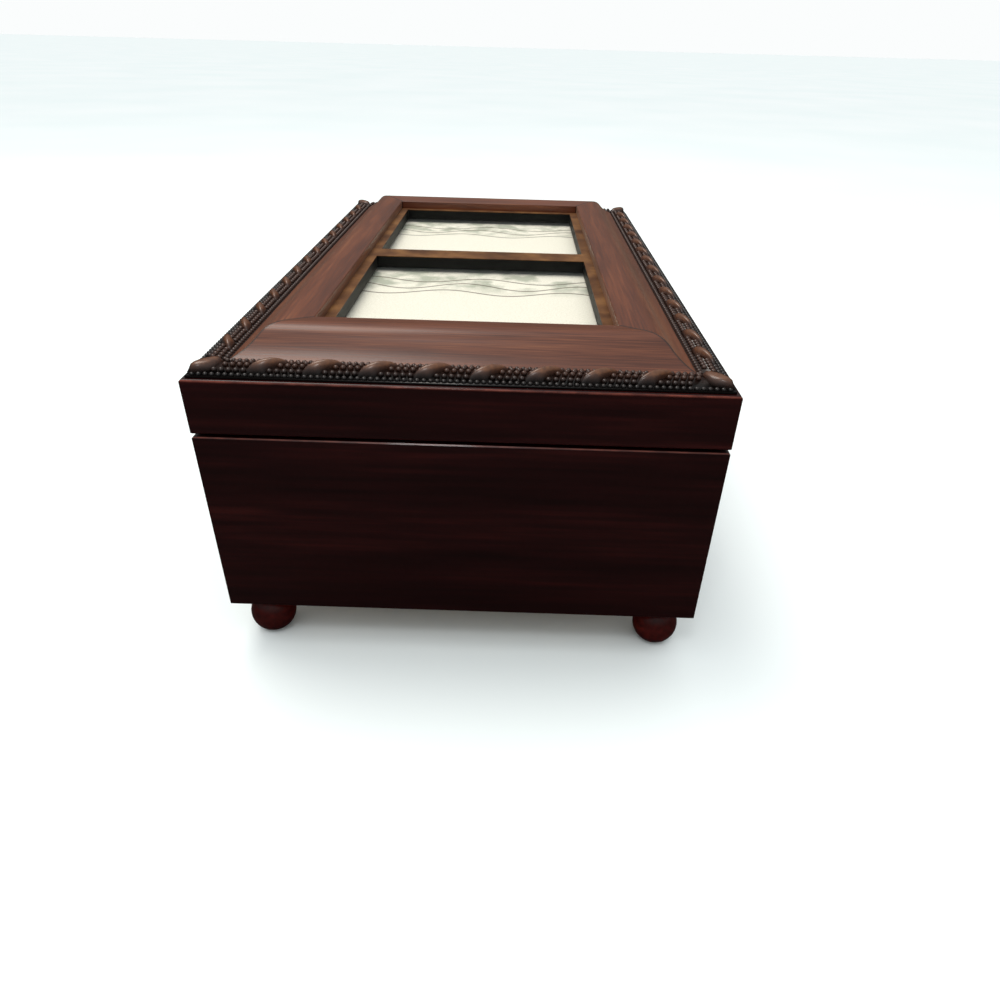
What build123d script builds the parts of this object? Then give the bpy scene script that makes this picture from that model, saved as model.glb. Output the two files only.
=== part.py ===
from build123d import *
import math
import os

# Musical jewelry box: a lacquered mitred case on turned feet, a hinged lid that frames two square
# pictures behind glass, lined compartments, and a pinned-cylinder movement wound from below.
# Frame: origin on the floor under the middle of the box, +X right along the long side,
# -Y to the front, +Y to the hinges, +Z up. All sizes are millimetres.

# Case
case_length = 248.0
case_depth = 152.4
case_height = 61.9
wall = 9.5
base_thickness = 6.0
base_rabbet = 4.0
edge_easing = 0.35
glue_gap = 0.1

# Feet
foot_height = 17.4
foot_inset_x = 10.4
foot_inset_y = 9.7
ball_radius = 7.6
ball_height = 12.6
foot_pad_radius = 3.0
neck_height = 0.9
collar_radius = 6.0
collar_set_in = 0.8
dowel_radius = 3.0

# Lid rails, mouldings and trim; insets are measured inwards from the outer face
seam_gap = 1.0
lid_side_height = 16.4
rail_width = 10.6
rail_top_round = 0.8
moulding_bottom_rise = 11.7
cove_foot_rise = 1.9
crest_rise = 9.4
crest_inset = 22.6
crest_radius = 6.8
plateau_fall = 8.0
cove_angle = 50.0
moulding_inset = 30.7
inner_edge_round = 0.5
frame_rabbet = 3.7
trim_outer_inset = 1.4
bead_band = 1.7
bead_seat = 0.7
inner_bead_seat = 1.9
bed_swell = 1.7
ridge_swell = 2.7
ridge_width = 5.8
ridge_lean = 6.0
front_repeats = 16
end_repeats = 10

# Picture windows
frame_strip = 3.55
crossbar_width = 11.7
frame_thickness = 4.6
glass_thickness = 1.5
card_thickness = 0.5
backing_thickness = 3.0
picture_slip = 0.2

# Hinges
hinge_length = 28.0
hinge_from_end = 45.0
knuckle_radius = 1.5
knuckle_length = 8.0
knuckle_clearance = 0.35
pin_radius = 0.6
pin_slip = 0.05
leaf_thickness = 0.9
leaf_gap = 0.2
leaf_width = 7.0

# Lining and compartments
lining_thickness = 2.0
floor_lining_thickness = 1.5
lining_below_rim = 0.5
divider_thickness = 3.0
divider_height = 29.5
movement_clearance = 4.0
back_divider_clearance = 9.35
pad_rolls = 4
pad_body_height = 12.0
pad_slip = 0.3
cover_thickness = 2.0
ledge_size = 4.0
bumper_radius = 3.0
bumper_thickness = 0.9
bumper_from_end = 14.0

# Turn buttons
button_length = 18.0
button_width = 7.0
button_thickness = 1.4
button_pivot_from_tip = 5.0
button_inset = 21.5
button_slip = 0.1
button_screw_radius = 1.2
button_head_radius = 2.3
button_head_height = 1.0
button_screw_depth = 5.0

# Movement; lengths along X and Y are measured from the winding axis
winding_from_right = 61.5
winding_from_back = 39.85
bed_left = 14.5
bed_right = 39.5
bed_width = 41.0
bed_thickness = 2.5
bed_corner = 2.0
bed_screw_inset_x = 4.0
bed_screw_inset_y = 3.4
arbor_radius = 2.0
bearing_slip = 0.05
base_hole_radius = 5.0
housing_radius = 14.0
housing_wall = 1.0
housing_height = 18.5
housing_window = 80.0
mainspring_radius = 9.6
mainspring_height = 10.4
mainspring_slip = 0.3
cylinder_axis_rise = 12.0
crown_teeth = 30
crown_outer = 12.4
crown_inner = 10.2
crown_thickness = 1.6
crown_tooth_foot = 0.6
crown_tooth_tip = 0.33
crown_tooth_depth = 1.65
crown_tooth_root = 0.2
crown_rim = 0.1
tooth_foot = 0.62
tooth_tip = 0.28
tooth_addendum = 0.75
tooth_root = 1.0
pinion_teeth = 12
pinion_radius = 4.5
pinion_start = 10.3
pinion_end = 12.2
drum_radius = 6.6
drum_start = 15.0
drum_end = 32.0
drum_shaft_radius = 0.8
pin_height = 0.85
pin_size = 0.4
pin_root = 0.13
shaft_overhang = 0.4
pin_turn = 137.5
post_thickness = 1.4
post_width = 5.0
near_post_start = 12.8
far_post_start = 36.6
cylinder_gear_teeth = 24
cylinder_gear_radius = 7.2
governor_pinion_teeth = 8
governor_pinion_radius = 2.4
governor_wheel_teeth = 30
governor_wheel_radius = 7.5
fan_pinion_teeth = 8
fan_pinion_radius = 2.0
fan_direction = 80.0
train_start = 32.6
train_thickness = 1.1
train_step = 2.0
wheel_shaft_radius = 0.8
fan_shaft_radius = 0.5
fan_blade_radius = 5.0
fan_blade_start = 21.0
fan_blade_end = 30.0
fan_blade_thickness = 0.6
brake_radius = 3.0
brake_thickness = 0.8
bracket_near = 18.5
bracket_far = 36.4
bracket_plate = 1.1
bracket_edge_y = 8.4
bracket_back_y = 19.5
bracket_foot_y = 10.0
bracket_foot_thickness = 1.0
bracket_shoulder = 4.0
bracket_around_fan = 2.5
brake_clearance = 0.6
comb_teeth = 18
comb_thickness = 1.2
comb_slot = 0.25
comb_tip_gap = 0.2
comb_root_y = 14.0
comb_back_y = 19.5
pedestal_front_y = 12.6
bass_tooth_gain = 2.6
mount_screw_shank = 1.3
mount_screw_head = 2.6
mount_screw_slip = 0.2
mount_screw_head_height = 1.6

# Winding key and stop plunger
key_hub_radius = 3.6
key_hub_top_gap = 3.5
key_hub_height = 9.0
key_wing_span = 23.0
key_wing_height = 9.0
key_wing_thickness = 2.4
key_wing_web = 0.62
key_bore_floor = 1.1
key_bore_slip = 0.03
arbor_from_bore_floor = 0.1
key_wing_hole = 2.6
key_floor_gap = 3.6
plunger_from_bracket = 5.6
arm_from_bracket = 0.3
plunger_radius = 1.5
plunger_foot_gap = 3.0
plunger_top_gap = 0.3
plunger_above_rim = 3.0
plunger_travel = 3.0
guide_radius = 3.2
guide_height = 17.0
guide_slip = 0.08
arm_thickness = 1.5
arm_width = 3.0
brake_gap = 0.3
stop_block_size = 10.0
stop_block_chamfer = 0.8
cover_hole_slip = 0.5

# Levels and places that follow from the sizes above
underside = foot_height
rim = underside + case_height
floor_top = underside + base_thickness
lid_bottom = rim + seam_gap
ledge = lid_bottom + lid_side_height
moulding_bottom = lid_bottom + moulding_bottom_rise
crest = ledge + crest_rise
frame_top = moulding_bottom + backing_thickness + card_thickness + glass_thickness + frame_thickness
glass_bottom = frame_top - frame_thickness - glass_thickness
card_bottom = glass_bottom - card_thickness
half_length = case_length / 2
half_depth = case_depth / 2
winding_y = half_depth - winding_from_back
back_divider_y = winding_y - bed_width / 2 - back_divider_clearance
winding_x = half_length - winding_from_right
cross_divider_x = winding_x - bed_left - movement_clearance
plunger_x = winding_x + bracket_far + bracket_plate + plunger_from_bracket
hinge_y = half_depth
hinge_z = rim + seam_gap / 2
hinge_x = half_length - hinge_from_end
inner_x = half_length - wall - lining_thickness
inner_y = half_depth - wall - lining_thickness
lined_floor = floor_top + floor_lining_thickness
divider_top = lined_floor + divider_height
picture_half_x = half_length - moulding_inset + frame_rabbet - picture_slip
picture_half_y = half_depth - moulding_inset + frame_rabbet - picture_slip
window_inset = moulding_inset + frame_strip
window_half_x = half_length - window_inset
window_half_y = half_depth - window_inset
music_left = cross_divider_x + divider_thickness / 2
music_front = back_divider_y + divider_thickness / 2
bed_top = floor_top + bed_thickness
axis_z = floor_top + cylinder_axis_rise
wheel_y = winding_y + cylinder_gear_radius + governor_pinion_radius
fan_reach = governor_wheel_radius + fan_pinion_radius
fan_y = wheel_y + fan_reach * math.cos(math.radians(fan_direction))
fan_z = axis_z + fan_reach * math.sin(math.radians(fan_direction))
plunger_top = rim + plunger_above_rim - plunger_top_gap
plunger_foot = floor_top + plunger_foot_gap
arm_bottom = fan_z + brake_radius + brake_gap
button_y = half_depth - button_inset

INWARD = {"front": (0, 1), "back": (0, -1), "left": (1, 0), "right": (-1, 0)}
made = []


def keep(builder: BuildPart, name: str) -> None:
    """Label a finished piece and write its file."""
    builder.part.label = name
    export_step(builder.part, f"parts/{name}.step")
    made.append(name)


def side_run(side: str) -> float:
    """Outer length of one side of the box."""
    return case_length if side in ("front", "back") else case_depth


def section_plane(side: str) -> Plane:
    """Cross-section of one side: x runs inwards from the outer face, y is the height."""
    inward = Vector(*INWARD[side], 0)
    reach = half_depth if side in ("front", "back") else half_length
    return Plane(origin=-inward * reach, x_dir=inward, z_dir=(inward.Y, -inward.X, 0))


def plan_plane(side: str, height: float) -> Plane:
    """Plan of one side: x runs along it from its middle, y runs inwards from the outer face."""
    section = section_plane(side)
    return Plane(origin=section.origin + Vector(0, 0, height), x_dir=section.z_dir, z_dir=(0, 0, 1))


def cut_mitres(side: str) -> None:
    """Cut the piece being built at 45 degrees at both of its corners."""
    section = section_plane(side)
    for end in (-1, 1):
        corner = section.origin + section.z_dir * (end * side_run(side) / 2)
        split(bisect_by=Plane(corner, z_dir=section.z_dir * end + section.x_dir), keep=Keep.BOTTOM)


def outline(points: list) -> None:
    """Closed straight-sided face in the sketch being drawn."""
    with BuildLine() as border:
        Polyline(*points, close=True)
    make_face(border.edges())


def block(x: tuple, y: tuple, z: tuple, mode: Mode = Mode.ADD) -> None:
    """Rectangular block between two values on each axis, in the part being built."""
    with Locations(((x[0] + x[1]) / 2, (y[0] + y[1]) / 2, (z[0] + z[1]) / 2)):
        Box(x[1] - x[0], y[1] - y[0], z[1] - z[0], mode=mode)


def rod(start: tuple, direction: tuple, radius: float, length: float, mode: Mode = Mode.ADD) -> None:
    """Round bar or hole from a start point along a direction, in the part being built."""
    with BuildSketch(Plane(start, z_dir=direction)) as disc:
        Circle(radius)
    extrude(disc.sketch, amount=length, mode=mode)


def hinge_places() -> list:
    """Middle of each hinge along X."""
    return [("left", -hinge_x), ("right", hinge_x)]


def cut_hinge_seat(up: int) -> None:
    """Mortise and knuckle groove in the edge that carries the hinges."""
    face = rim if up < 0 else lid_bottom
    sunk = hinge_z + up * (leaf_gap / 2 + leaf_thickness)
    half = hinge_length / 2 + glue_gap
    for _, middle in hinge_places():
        x = (middle - half, middle + half)
        block(x, (hinge_y - leaf_width - glue_gap, hinge_y), tuple(sorted((face, sunk))), Mode.SUBTRACT)
        rod((x[0], hinge_y, hinge_z), (1, 0, 0), knuckle_radius + knuckle_clearance, 2 * half, Mode.SUBTRACT)


def make_case_side(side: str) -> None:
    """One mitred wall of the case, rabbeted for the base."""
    with BuildPart() as case_side:
        with BuildSketch(section_plane(side)):
            outline([
                (0, underside + edge_easing),
                (edge_easing, underside),
                (wall - base_rabbet, underside),
                (wall - base_rabbet, floor_top),
                (wall, floor_top),
                (wall, rim),
                (edge_easing, rim),
                (0, rim - edge_easing),
            ])
        extrude(amount=side_run(side) / 2, both=True)
        cut_mitres(side)
        if side == "back":
            cut_hinge_seat(-1)
    keep(case_side, f"case_{side}")


def make_lid_rail(side: str) -> None:
    """One mitred outer rail of the lid, with the ledge that carries the trim."""
    round_middle = rail_top_round * (1 - math.sqrt(0.5))
    with BuildPart() as lid_rail:
        with BuildSketch(section_plane(side)):
            with BuildLine():
                Polyline(
                    (rail_top_round, ledge), (rail_width, ledge), (rail_width, lid_bottom),
                    (edge_easing, lid_bottom), (0, lid_bottom + edge_easing),
                    (0, ledge - rail_top_round),
                )
                ThreePointArc(
                    (0, ledge - rail_top_round),
                    (round_middle, ledge - round_middle),
                    (rail_top_round, ledge),
                )
            make_face()
        extrude(amount=side_run(side) / 2, both=True)
        cut_mitres(side)
        if side == "back":
            cut_hinge_seat(1)
    keep(lid_rail, f"lid_rail_{side}")


def make_moulding(side: str) -> None:
    """One mitred picture moulding: cove, crest, falling plateau and the rabbet for the pictures."""
    cove_turn = math.radians(cove_angle)
    fall = math.radians(plateau_fall)
    cove_top = (
        crest_inset - crest_radius * math.sin(cove_turn),
        crest - crest_radius * (1 - math.cos(cove_turn)),
    )
    crest_end = (
        crest_inset + crest_radius * math.sin(fall),
        crest - crest_radius * (1 - math.cos(fall)),
    )
    edge = moulding_inset - inner_edge_round
    plateau_end = (edge, crest_end[1] - (edge - crest_end[0]) * math.tan(fall))
    lip_top = (moulding_inset, plateau_end[1] - inner_edge_round)
    rabbet = moulding_inset - frame_rabbet
    with BuildPart() as moulding:
        with BuildSketch(section_plane(side)):
            with BuildLine():
                TangentArc(
                    cove_top, (rail_width, ledge + cove_foot_rise),
                    tangent=(-math.cos(cove_turn), -math.sin(cove_turn)),
                )
                Polyline(
                    (rail_width, ledge + cove_foot_rise), (rail_width, moulding_bottom),
                    (rabbet, moulding_bottom), (rabbet, frame_top), (moulding_inset, frame_top), lip_top,
                )
                TangentArc(lip_top, plateau_end, tangent=(0, 1))
                Line(plateau_end, crest_end)
                ThreePointArc(crest_end, (crest_inset, crest), cove_top)
            make_face()
        extrude(amount=side_run(side) / 2, both=True)
        cut_mitres(side)
        if side in ("front", "back"):
            y = -button_y if side == "front" else button_y
            rod((0, y, moulding_bottom), (0, 0, 1), button_screw_radius, button_screw_depth, Mode.SUBTRACT)
    keep(moulding, f"moulding_{side}")


def swelling(swell: float) -> None:
    """Half-round band between the two bead seats, in the section being drawn."""
    outer = (trim_outer_inset + bead_band, ledge + bead_seat)
    inner = (rail_width - glue_gap - bead_band, ledge + inner_bead_seat)
    middle = ((outer[0] + inner[0]) / 2, (outer[1] + inner[1]) / 2 + swell)
    with BuildLine() as border:
        ThreePointArc(outer, middle, inner)
        Polyline(inner, (inner[0], ledge), (outer[0], ledge), outer)
    make_face(border.edges())


def make_trim(side: str) -> None:
    """One mitred strip of ribbon-and-bead trim: a swelling bed crossed by leaning ridges."""
    repeats = front_repeats if side in ("front", "back") else end_repeats
    pitch = side_run(side) / repeats
    outer = trim_outer_inset + bead_band
    inner = rail_width - glue_gap - bead_band
    with BuildPart() as trim:
        with BuildSketch(section_plane(side)):
            swelling(ridge_swell)
        extrude(amount=side_run(side) / 2, both=True)
        with BuildSketch(plan_plane(side, ledge)):
            for index in range(repeats):
                start = (index - (repeats - 1) / 2) * pitch - ridge_lean / 2 - ridge_width / 2
                outline([
                    (start, outer), (start + ridge_lean, inner),
                    (start + ridge_lean + ridge_width, inner), (start + ridge_width, outer),
                ])
        extrude(amount=crest_rise, mode=Mode.INTERSECT)
        with BuildSketch(section_plane(side)):
            swelling(bed_swell)
            outline([
                (trim_outer_inset, ledge), (outer, ledge),
                (outer, ledge + bead_seat), (trim_outer_inset, ledge + bead_seat),
            ])
            outline([
                (inner, ledge), (rail_width - glue_gap, ledge),
                (rail_width - glue_gap, ledge + inner_bead_seat), (inner, ledge + inner_bead_seat),
            ])
        extrude(amount=side_run(side) / 2, both=True)
        cut_mitres(side)
    keep(trim, f"trim_{side}")


def make_feet() -> None:
    """Four alike turned ball feet, each with a necked collar and the dowel glued into the base."""
    ball_middle = math.sqrt(ball_radius**2 - foot_pad_radius**2)
    neck_radius = math.sqrt(ball_radius**2 - (ball_height - ball_middle) ** 2)
    neck_top = ball_height + neck_height
    collar_top = collar_radius - collar_set_in
    with BuildPart() as ball_feet:
        with BuildSketch(Plane.XZ) as profile:
            with BuildLine():
                Line((0, 0), (foot_pad_radius, 0))
                ThreePointArc((foot_pad_radius, 0), (ball_radius, ball_middle), (neck_radius, ball_height))
                Line((neck_radius, ball_height), (neck_radius, neck_top))
                ThreePointArc(
                    (neck_radius, neck_top),
                    (collar_radius, (neck_top + underside) / 2),
                    (collar_top, underside),
                )
                Polyline(
                    (collar_top, underside), (dowel_radius, underside),
                    (dowel_radius, floor_top - glue_gap), (0, floor_top - glue_gap), (0, 0),
                )
            make_face()
        turned = revolve(profile.sketch, axis=Axis.Z, mode=Mode.PRIVATE)
        with Locations(*[(x, y, 0) for x, y in foot_places()]):
            add(turned)
    keep(ball_feet, "ball_feet")


def foot_places() -> list:
    """X and Y of each foot."""
    return [
        (side_x * (half_length - foot_inset_x), side_y * (half_depth - foot_inset_y))
        for side_y in (-1, 1)
        for side_x in (-1, 1)
    ]


def mount_screw_places() -> list:
    """X and Y of the three screws that hold the bedplate from under the base."""
    back = bed_width / 2 - bed_screw_inset_y
    right = bed_right - bed_screw_inset_x
    return [
        (winding_x + right, winding_y - back),
        (winding_x + right, winding_y + back),
        (winding_x - bed_left + bed_screw_inset_x, winding_y + back),
    ]


def make_case_base() -> None:
    """Base panel in the rabbets of the walls, bored for foot dowels, winding stem and screws."""
    reach = wall - base_rabbet + glue_gap
    with BuildPart() as case_base:
        block(
            (-half_length + reach, half_length - reach), (-half_depth + reach, half_depth - reach),
            (underside, floor_top),
        )
        for x, y in foot_places():
            rod((x, y, underside), (0, 0, 1), dowel_radius + glue_gap / 2, base_thickness, Mode.SUBTRACT)
        rod((winding_x, winding_y, underside), (0, 0, 1), base_hole_radius, base_thickness, Mode.SUBTRACT)
        for x, y in mount_screw_places():
            bore = mount_screw_shank + mount_screw_slip
            rod((x, y, underside), (0, 0, 1), bore, base_thickness, Mode.SUBTRACT)
    keep(case_base, "case_base")


def make_lining() -> None:
    """Lined board floor, left out under the movement, and the lining that wraps the four walls."""
    reach_x = half_length - wall - glue_gap
    reach_y = half_depth - wall - glue_gap
    with BuildPart() as floor_lining:
        block((-reach_x, reach_x), (-reach_y, reach_y), (floor_top, lined_floor))
        block(
            (music_left, half_length), (music_front, half_depth), (floor_top, lined_floor), Mode.SUBTRACT
        )
    keep(floor_lining, "floor_lining")
    with BuildPart() as wall_lining:
        block((-reach_x, reach_x), (-reach_y, reach_y), (lined_floor, rim - lining_below_rim))
        block((-inner_x, inner_x), (-inner_y, inner_y), (lined_floor, rim), Mode.SUBTRACT)
    keep(wall_lining, "wall_lining")


def make_dividers() -> None:
    """Three covered boards that part the inside into compartments."""
    half = divider_thickness / 2
    height = (lined_floor, divider_top)
    with BuildPart() as cross_divider:
        block((cross_divider_x - half, cross_divider_x + half), (-inner_y, inner_y), height)
    keep(cross_divider, "cross_divider")
    with BuildPart() as music_divider:
        block((music_left, inner_x), (back_divider_y - half, back_divider_y + half), height)
    keep(music_divider, "music_divider")
    with BuildPart() as ring_divider:
        block((-inner_x, cross_divider_x - half), (back_divider_y - half, back_divider_y + half), height)
    keep(ring_divider, "ring_divider")


def make_ring_pad() -> None:
    """Padded insert of parallel rolls that grip rings between them."""
    front = back_divider_y + divider_thickness / 2 + pad_slip
    back = inner_y - pad_slip
    pitch = (back - front) / pad_rolls
    body_top = lined_floor + pad_body_height
    left = -inner_x + pad_slip
    right = cross_divider_x - divider_thickness / 2 - pad_slip
    with BuildPart() as ring_pad:
        with BuildSketch(Plane.YZ.offset(left)):
            with BuildLine():
                Polyline((front, body_top), (front, lined_floor), (back, lined_floor), (back, body_top))
                for index in range(pad_rolls):
                    start = front + index * pitch
                    middle = (start + pitch / 2, body_top + pitch / 2)
                    ThreePointArc((start, body_top), middle, (start + pitch, body_top))
            make_face()
        extrude(amount=right - left)
    keep(ring_pad, "ring_pad")


def make_music_cover() -> None:
    """Glass plate over the movement and the corner ledge that carries its two outer edges."""
    with BuildPart() as movement_cover:
        block(
            (cross_divider_x - divider_thickness / 2, inner_x - picture_slip),
            (back_divider_y - divider_thickness / 2, inner_y - picture_slip),
            (divider_top, divider_top + cover_thickness),
        )
        rod(
            (plunger_x, fan_y, divider_top), (0, 0, 1), plunger_radius + cover_hole_slip, cover_thickness,
            Mode.SUBTRACT,
        )
    keep(movement_cover, "movement_cover")
    with BuildPart() as cover_ledge:
        height = (divider_top - ledge_size, divider_top)
        block((music_left, inner_x), (inner_y - ledge_size, inner_y), height)
        block((inner_x - ledge_size, inner_x), (music_front, inner_y), height)
    keep(cover_ledge, "cover_ledge")


def make_hinge(name: str, middle: float) -> None:
    """Small butt hinge: two outer knuckles on the case leaf, one between them on the lid leaf."""
    half = hinge_length / 2
    inner = half - knuckle_length
    pieces = (
        ("case", -1, [(-half, -inner), (inner, half)]),
        ("lid", 1, [(-inner + leaf_gap, inner - leaf_gap)]),
    )
    for leaf, up, knuckles in pieces:
        near = hinge_z + up * leaf_gap / 2
        far = near + up * leaf_thickness
        height = tuple(sorted((near, far)))
        with BuildPart() as hinge_leaf:
            block(
                (middle - half, middle + half),
                (hinge_y - leaf_width, hinge_y - knuckle_radius - leaf_gap), height,
            )
            for start, end in knuckles:
                block((middle + start, middle + end), (hinge_y - leaf_width, hinge_y), height)
                rod((middle + start, hinge_y, hinge_z), (1, 0, 0), knuckle_radius, end - start)
            rod(
                (middle - half, hinge_y, hinge_z), (1, 0, 0), pin_radius + pin_slip, hinge_length,
                Mode.SUBTRACT,
            )
        keep(hinge_leaf, f"hinge_{leaf}_leaf_{name}")
    with BuildPart() as hinge_pin:
        rod((middle - half, hinge_y, hinge_z), (1, 0, 0), pin_radius, hinge_length)
    keep(hinge_pin, f"hinge_pin_{name}")


def make_button_screws() -> None:
    """Round-headed screws that the turn buttons swivel on."""
    head_top = moulding_bottom - button_slip - button_thickness - button_slip
    shank = moulding_bottom + button_screw_depth - head_top - glue_gap
    with BuildPart() as button_screws:
        for y in (-button_y, button_y):
            rod((0, y, head_top - button_head_height), (0, 0, 1), button_head_radius, button_head_height)
            rod((0, y, head_top), (0, 0, 1), button_screw_radius, shank)
    keep(button_screws, "button_screws")


def make_pictures() -> None:
    """Window frame with its crossbar, and behind it the pane, the card and the backing board."""
    x = (-picture_half_x, picture_half_x)
    y = (-picture_half_y, picture_half_y)
    with BuildPart() as window_frame:
        block(x, y, (frame_top - frame_thickness, frame_top))
        for side in (-1, 1):
            span = tuple(sorted((side * crossbar_width / 2, side * window_half_x)))
            height = (frame_top - frame_thickness, frame_top)
            block(span, (-window_half_y, window_half_y), height, Mode.SUBTRACT)
    keep(window_frame, "window_frame")
    with BuildPart() as glass_pane:
        block(x, y, (glass_bottom, frame_top - frame_thickness))
    keep(glass_pane, "glass_pane")
    with BuildPart() as picture_card:
        block(x, y, (card_bottom, glass_bottom))
    keep(picture_card, "picture_card")
    with BuildPart() as backing_board:
        block(x, y, (moulding_bottom, card_bottom))
    keep(backing_board, "backing_board")


def make_turn_button(name: str, side: int) -> None:
    """Swivelling button that holds the backing board against its rabbet."""
    pivot_y = side * button_y
    tip_shift = button_length / 2 - button_pivot_from_tip
    top = moulding_bottom - button_slip
    with BuildPart() as turn_button:
        with BuildSketch(Plane.XY.offset(top - button_thickness)):
            with Locations((0, pivot_y - side * tip_shift)):
                SlotOverall(button_length, button_width, rotation=90)
            with Locations((0, pivot_y)):
                Circle(button_screw_radius + bearing_slip, mode=Mode.SUBTRACT)
        extrude(amount=button_thickness)
    keep(turn_button, f"turn_button_{name}")


def make_lid_fittings() -> None:
    """Block under the lid that presses the plunger, and the bumpers that the lid rests on."""
    half = stop_block_size / 2
    with BuildPart() as stop_block:
        block(
            (plunger_x - half, plunger_x + half), (fan_y - half, fan_y + half),
            (plunger_top + plunger_top_gap, moulding_bottom),
        )
        chamfer(stop_block.edges().group_by(Axis.Z)[0], length=stop_block_chamfer)
    keep(stop_block, "stop_block")
    with BuildPart() as lid_bumpers:
        for side in (-1, 1):
            x = side * (half_length - bumper_from_end)
            rod((x, -half_depth + wall / 2, rim), (0, 0, 1), bumper_radius, bumper_thickness)
    keep(lid_bumpers, "lid_bumpers")


def gear_face(teeth: int, pitch_radius: float, direction: float) -> None:
    """Gear blank with straight-flanked teeth, one of them centred on a direction in degrees."""
    module = 2 * pitch_radius / teeth
    turn = 2 * math.pi / teeth
    flank = [
        (-tooth_foot, -tooth_root), (-tooth_tip, tooth_addendum),
        (tooth_tip, tooth_addendum), (tooth_foot, -tooth_root),
    ]
    points = []
    for tooth in range(teeth):
        middle = math.radians(direction) + tooth * turn
        for across, up in flank:
            radius = pitch_radius + up * module
            angle = middle + across * module / radius
            points.append((radius * math.cos(angle), radius * math.sin(angle)))
    outline(points)


def axle_plane(x: float, y: float, z: float) -> Plane:
    """Plane across an axle that runs along X, at a distance from the winding axis."""
    return Plane((winding_x + x, y, z), x_dir=(0, 1, 0), z_dir=(1, 0, 0))


def make_bedplate() -> None:
    """Cast bedplate with the comb pedestal and the two posts that carry the cylinder."""
    left, right = winding_x - bed_left, winding_x + bed_right
    front, back = winding_y - bed_width / 2, winding_y + bed_width / 2
    with BuildPart() as bedplate:
        with BuildSketch(Plane.XY.offset(floor_top)):
            outline([
                (left + bed_corner, front), (right - bed_corner, front), (right, front + bed_corner),
                (right, back - bed_corner), (right - bed_corner, back), (left + bed_corner, back),
                (left, back - bed_corner), (left, front + bed_corner),
            ])
        extrude(amount=bed_thickness)
        block(
            (winding_x + drum_start, winding_x + drum_end),
            (winding_y - comb_back_y, winding_y - pedestal_front_y),
            (bed_top, axis_z - comb_thickness / 2),
        )
        for start in (near_post_start, far_post_start):
            block(
                (winding_x + start, winding_x + start + post_thickness),
                (winding_y - post_width / 2, winding_y + post_width / 2),
                (bed_top, axis_z + post_width / 2),
            )
            rod(
                (winding_x + start, winding_y, axis_z), (1, 0, 0), drum_shaft_radius + bearing_slip,
                post_thickness, Mode.SUBTRACT,
            )
        rod(
            (winding_x, winding_y, floor_top), (0, 0, 1), arbor_radius + bearing_slip, bed_thickness,
            Mode.SUBTRACT,
        )
        for x, y in mount_screw_places():
            rod((x, y, floor_top), (0, 0, 1), mount_screw_shank, bed_thickness, Mode.SUBTRACT)
    keep(bedplate, "bedplate")


def make_spring_barrel() -> None:
    """Spring housing, open towards the cylinder, and the mainspring wound inside it."""
    top = bed_top + housing_height
    inner_radius = housing_radius - housing_wall
    with BuildPart() as spring_housing:
        rod((winding_x, winding_y, bed_top), (0, 0, 1), housing_radius, housing_height)
        rod(
            (winding_x, winding_y, bed_top), (0, 0, 1), inner_radius, housing_height - housing_wall,
            Mode.SUBTRACT,
        )
        bore = arbor_radius + bearing_slip
        rod((winding_x, winding_y, bed_top), (0, 0, 1), bore, housing_height, Mode.SUBTRACT)
        opening = math.radians(housing_window / 2)
        half_window = housing_radius * math.sin(opening)
        block(
            (winding_x + housing_radius * math.cos(opening), winding_x + housing_radius + 1),
            (winding_y - half_window, winding_y + half_window), (bed_top, top - housing_wall), Mode.SUBTRACT,
        )
    keep(spring_housing, "spring_housing")
    with BuildPart() as mainspring:
        spring_bottom = top - housing_wall - mainspring_slip - mainspring_height
        rod((winding_x, winding_y, spring_bottom), (0, 0, 1), mainspring_radius, mainspring_height)
        bore = arbor_radius + mainspring_slip
        rod((winding_x, winding_y, spring_bottom), (0, 0, 1), bore, mainspring_height, Mode.SUBTRACT)
    keep(mainspring, "mainspring")


def make_main_gear() -> None:
    """Winding arbor with the crown wheel that drives the cylinder."""
    module = 2 * pinion_radius / pinion_teeth
    pitch_z = axis_z - pinion_radius
    disc_top = pitch_z - module
    arbor_bottom = underside - key_hub_top_gap - key_hub_height + key_bore_floor + arbor_from_bore_floor
    arbor_top = bed_top + housing_height - housing_wall / 2
    with BuildPart() as main_gear:
        rod((winding_x, winding_y, arbor_bottom), (0, 0, 1), arbor_radius, arbor_top - arbor_bottom)
        disc_bottom = disc_top - crown_thickness
        rod((winding_x, winding_y, disc_bottom), (0, 0, 1), crown_outer, crown_thickness)
        for tooth in range(crown_teeth):
            angle = 2 * math.pi * (tooth + 0.5) / crown_teeth
            radial = Vector(math.cos(angle), math.sin(angle), 0)
            origin = Vector(winding_x, winding_y, disc_top) + radial * crown_inner
            with BuildSketch(Plane(origin, x_dir=(-radial.Y, radial.X, 0), z_dir=radial)):
                outline([
                    (-crown_tooth_foot, -crown_tooth_root), (crown_tooth_foot, -crown_tooth_root),
                    (crown_tooth_tip, crown_tooth_depth * module),
                    (-crown_tooth_tip, crown_tooth_depth * module),
                ])
        extrude(amount=crown_outer - crown_inner - crown_rim)
    keep(main_gear, "main_gear")


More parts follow.
